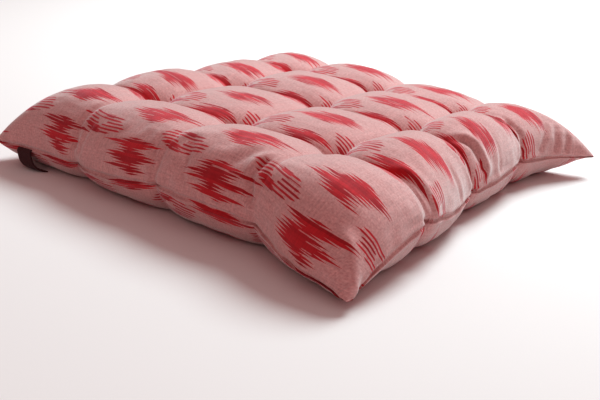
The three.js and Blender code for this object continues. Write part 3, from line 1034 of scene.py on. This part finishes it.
TAPE_RED = (0.075, 0.014, 0.018, 1)
tape_cotton, tree, surface = new_material("tape cotton")
cloth_place = node(tree, "ShaderNodeUVMap", uv_map="cloth").outputs[0]
yarns = placed_group(
    tree, uneven_yarns, Cloth=cloth_place, Yarns_per_metre=1400.0, Unevenness=0.3
)
shaded = node(tree, "ShaderNodeVectorMath", TAPE_RED[:3], operation="SCALE")
tree.links.new(yarns.outputs["Shade"], shaded.inputs["Scale"])
tree.links.new(shaded.outputs[0], surface.inputs["Base Color"])
bump = node(tree, "ShaderNodeBump")
bump.inputs["Strength"].default_value = 0.6
bump.inputs["Distance"].default_value = 0.0004
tree.links.new(yarns.outputs["Height"], bump.inputs["Height"])
tree.links.new(bump.outputs[0], surface.inputs["Normal"])
surface.inputs["Roughness"].default_value = 0.85
surface.inputs["Sheen Weight"].default_value = 0.2

tie.data.materials.append(tape_cotton)
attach(tie, "root")
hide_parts("corner_tie")

# The floor, the light and the camera
# A plain pale floor, one large soft light from behind on the right, and a weaker sky. The
# camera stands where the photograph's did, worked out from the pad's corners and seams.
floor = mesh_object("floor", [(-4, -4, 0), (4, -4, 0), (4, 4, 0), (-4, 4, 0)], [(0, 1, 2, 3)])
paint, tree, surface = new_material("floor paint")
surface.inputs["Base Color"].default_value = (0.80, 0.81, 0.81, 1)
surface.inputs["Roughness"].default_value = 0.9
floor.data.materials.append(paint)
KEY_PLACE, KEY_SIZE, KEY_WATTS = (1.3, 0.0, 1.4), 0.9, 34.0
KEY_COLOUR = (0.86, 0.99, 1.0)
SKY_COLOUR, SKY_STRENGTH = (1.0, 0.69, 0.67, 1), 0.365


def soft_light(name, place, size, watts, colour):
    light = bpy.data.lights.new(name, "AREA")
    light.shape = "DISK"
    light.size = size
    light.energy = watts
    light.color = colour
    lamp = bpy.data.objects.new(name, light)
    bpy.context.collection.objects.link(lamp)
    back = np.array(place) / np.linalg.norm(place)
    right = np.cross([0, 0, 1], back)
    right /= np.linalg.norm(right)
    up = np.cross(back, right)
    turn = np.eye(4)
    turn[:3, 0], turn[:3, 1], turn[:3, 2], turn[:3, 3] = right, up, back, place
    lamp.matrix_world = Matrix(turn.tolist())


soft_light("key light", KEY_PLACE, KEY_SIZE, KEY_WATTS, KEY_COLOUR)
world = bpy.data.worlds.new("pale room")
world.use_nodes = True
sky = world.node_tree.nodes["Background"]
sky.inputs["Color"].default_value = SKY_COLOUR
sky.inputs["Strength"].default_value = SKY_STRENGTH
bpy.context.scene.world = world
bpy.context.scene.view_settings.view_transform = "Standard"
bpy.context.scene.view_settings.look = "High Contrast"

PHOTO_WIDTH, PHOTO_HEIGHT = 600, 400
VIEW_AZIMUTH, VIEW_HEIGHT_ANGLE, VIEW_ROLL = (math.radians(a) for a in (-51.73, 16.91, 3.64))
VIEW_DISTANCE = 0.83077
VIEW_TARGET = np.array([0, 0, 0.030])
FOCAL_PIXELS = 887.15
MIDDLE_PIXEL = (306.67, 137.16)  # where the camera's own axis meets the picture
SENSOR = 36.0

back = np.array([
    math.sin(VIEW_AZIMUTH) * math.cos(VIEW_HEIGHT_ANGLE),
    -math.cos(VIEW_AZIMUTH) * math.cos(VIEW_HEIGHT_ANGLE),
    math.sin(VIEW_HEIGHT_ANGLE),
])
level_right = np.array([math.cos(VIEW_AZIMUTH), math.sin(VIEW_AZIMUTH), 0])
level_up = np.cross(back, level_right)
right = math.cos(VIEW_ROLL) * level_right + math.sin(VIEW_ROLL) * level_up
up = -math.sin(VIEW_ROLL) * level_right + math.cos(VIEW_ROLL) * level_up
camera_place = np.eye(4)
camera_place[:3, 0], camera_place[:3, 1], camera_place[:3, 2] = right, up, back
camera_place[:3, 3] = VIEW_TARGET + back * VIEW_DISTANCE
lens = bpy.data.cameras.new("camera")
lens.sensor_width = SENSOR
lens.lens = FOCAL_PIXELS * SENSOR / PHOTO_WIDTH
lens.shift_x = (PHOTO_WIDTH / 2 - MIDDLE_PIXEL[0]) / PHOTO_WIDTH
lens.shift_y = (MIDDLE_PIXEL[1] - PHOTO_HEIGHT / 2) / PHOTO_WIDTH
camera = bpy.data.objects.new("camera", lens)
camera.matrix_world = Matrix(camera_place.tolist())
bpy.context.collection.objects.link(camera)
bpy.context.scene.camera = camera
